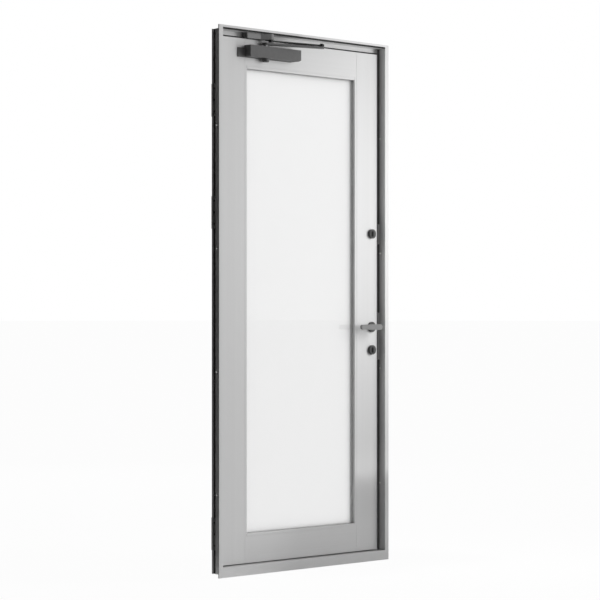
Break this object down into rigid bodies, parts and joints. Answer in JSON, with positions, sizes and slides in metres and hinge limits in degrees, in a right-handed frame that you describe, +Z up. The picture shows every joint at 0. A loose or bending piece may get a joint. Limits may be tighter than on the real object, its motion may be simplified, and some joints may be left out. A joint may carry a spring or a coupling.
{
  "type": "outswing glazed door with frame",
  "caption": "Glazed aluminium outswing door in a flanged frame, with lever handles, cylinder deadlocks and a parallel-arm overhead closer.",
  "frame": {"origin": "bottom middle of the frame, on the plane where its flange meets the wall", "axes": "+X from the hinge side to the lock side, +Y from the room to the outside, the way the leaf opens, +Z up"},
  "size_m": [0.976, 0.197, 2.15],
  "materials": {
    "satin_aluminium": "satin",
    "dark_hardware": "satin",
    "steel": "brushed",
    "rubber": "matte",
    "glass": "gloss"
  },
  "bodies": {
    "frame": {"hinge_jamb": "satin_aluminium", "lock_jamb": "satin_aluminium", "frame_head": "satin_aluminium", "frame_sill": "satin_aluminium", "head_seal": "rubber", "hinge_backing_plate_1": "dark_hardware", "hinge_backing_plate_2": "dark_hardware", "hinge_backing_plate_3": "dark_hardware", "hinge_frame_half_1": "dark_hardware", "hinge_frame_half_2": "dark_hardware", "hinge_frame_half_3": "dark_hardware", "hinge_pin_1": "steel", "hinge_pin_2": "steel", "hinge_pin_3": "steel", "lock_strike": "steel", "deadbolt_strike": "steel", "closer_shoe": "dark_hardware"},
    "leaf": {"hinge_stile": "satin_aluminium", "lock_stile": "satin_aluminium", "top_rail": "satin_aluminium", "bottom_rail": "satin_aluminium", "glazing_bead_hinge": "satin_aluminium", "glazing_bead_lock": "satin_aluminium", "glazing_bead_top": "satin_aluminium", "glazing_bead_bottom": "satin_aluminium", "hinge_leaf_half_1": "dark_hardware", "hinge_leaf_half_2": "dark_hardware", "hinge_leaf_half_3": "dark_hardware", "lever_rose_inside": "dark_hardware", "lever_rose_outside": "dark_hardware", "upper_collar_inside": "dark_hardware", "upper_collar_outside": "dark_hardware", "lower_collar_inside": "dark_hardware", "lower_collar_outside": "dark_hardware", "closer_body": "dark_hardware", "closer_pinion_cap": "dark_hardware", "glass_spacer": "steel", "lock_case": "steel", "lock_faceplate": "steel", "deadlock_case": "steel", "deadlock_faceplate": "steel", "upper_key_plug": "steel", "lower_key_plug": "steel", "setting_blocks": "rubber", "glazing_gasket_inner": "rubber", "glazing_gasket_outer": "rubber", "leaf_seal": "rubber", "glass_inner": "glass", "glass_outer": "glass"},
    "lever": {"lever_inside": "dark_hardware", "lever_outside": "dark_hardware", "lever_spindle": "steel"},
    "latch": {"latch_bolt": "steel"},
    "upper_bolt": {"deadbolt_upper": "steel"},
    "lower_bolt": {"deadbolt_lower": "steel"},
    "upper_thumbturn": {"turn_upper": "dark_hardware"},
    "lower_thumbturn": {"turn_lower": "dark_hardware"},
    "closer_arm": {"main_arm": "dark_hardware", "closer_spindle": "steel"},
    "closer_forearm": {"forearm": "steel"}
  },
  "joints": [
    {"name": "door_swing", "type": "hinge", "parent": "frame", "child": "leaf", "pos_m": [-0.457, 0.06, 0], "axis": [0, 0, 1], "range_deg": [0, 95], "stiffness_Nm_per_rad": 12, "springref_deg": -17.19},
    {"name": "closer_arm_turn", "type": "hinge", "parent": "leaf", "child": "closer_arm", "pos_m": [-0.224, 0.005, 2], "axis": [0, 0, 1], "range_deg": [-95, 0]},
    {"name": "closer_forearm_turn", "type": "hinge", "parent": "frame", "child": "closer_forearm", "pos_m": [-0.209, -0.009, 2.1], "axis": [0, 0, 1], "range_deg": [0, 95]},
    {"name": "lever_turn", "type": "hinge", "parent": "leaf", "child": "lever", "pos_m": [0.411, 0, 0.972], "axis": [0, 1, 0], "range_deg": [-40, 0], "stiffness_Nm_per_rad": 1.5, "springref_deg": 22.92},
    {"name": "latch_throw", "type": "slide", "parent": "leaf", "child": "latch", "axis": [1, 0, 0], "range_m": [0, 0.012]},
    {"name": "upper_turn", "type": "hinge", "parent": "leaf", "child": "upper_thumbturn", "pos_m": [0.411, 0, 1.36], "axis": [0, 1, 0], "range_deg": [0, 90]},
    {"name": "upper_bolt_throw", "type": "slide", "parent": "leaf", "child": "upper_bolt", "axis": [1, 0, 0], "range_m": [0, 0.02]},
    {"name": "lower_turn", "type": "hinge", "parent": "leaf", "child": "lower_thumbturn", "pos_m": [0.411, 0, 0.877], "axis": [0, 1, 0], "range_deg": [0, 90]},
    {"name": "lower_bolt_throw", "type": "slide", "parent": "leaf", "child": "lower_bolt", "axis": [1, 0, 0], "range_m": [0, 0.02]}
  ],
  "couplings": [
    {"joint": "closer_arm_turn", "follows": "door_swing", "ratio": -1},
    {"joint": "closer_forearm_turn", "follows": "door_swing", "ratio": 1},
    {"joint": "upper_turn", "follows": "upper_bolt_throw", "rad_per_m": 78.5},
    {"joint": "lower_turn", "follows": "lower_bolt_throw", "rad_per_m": 78.5}
  ]
}
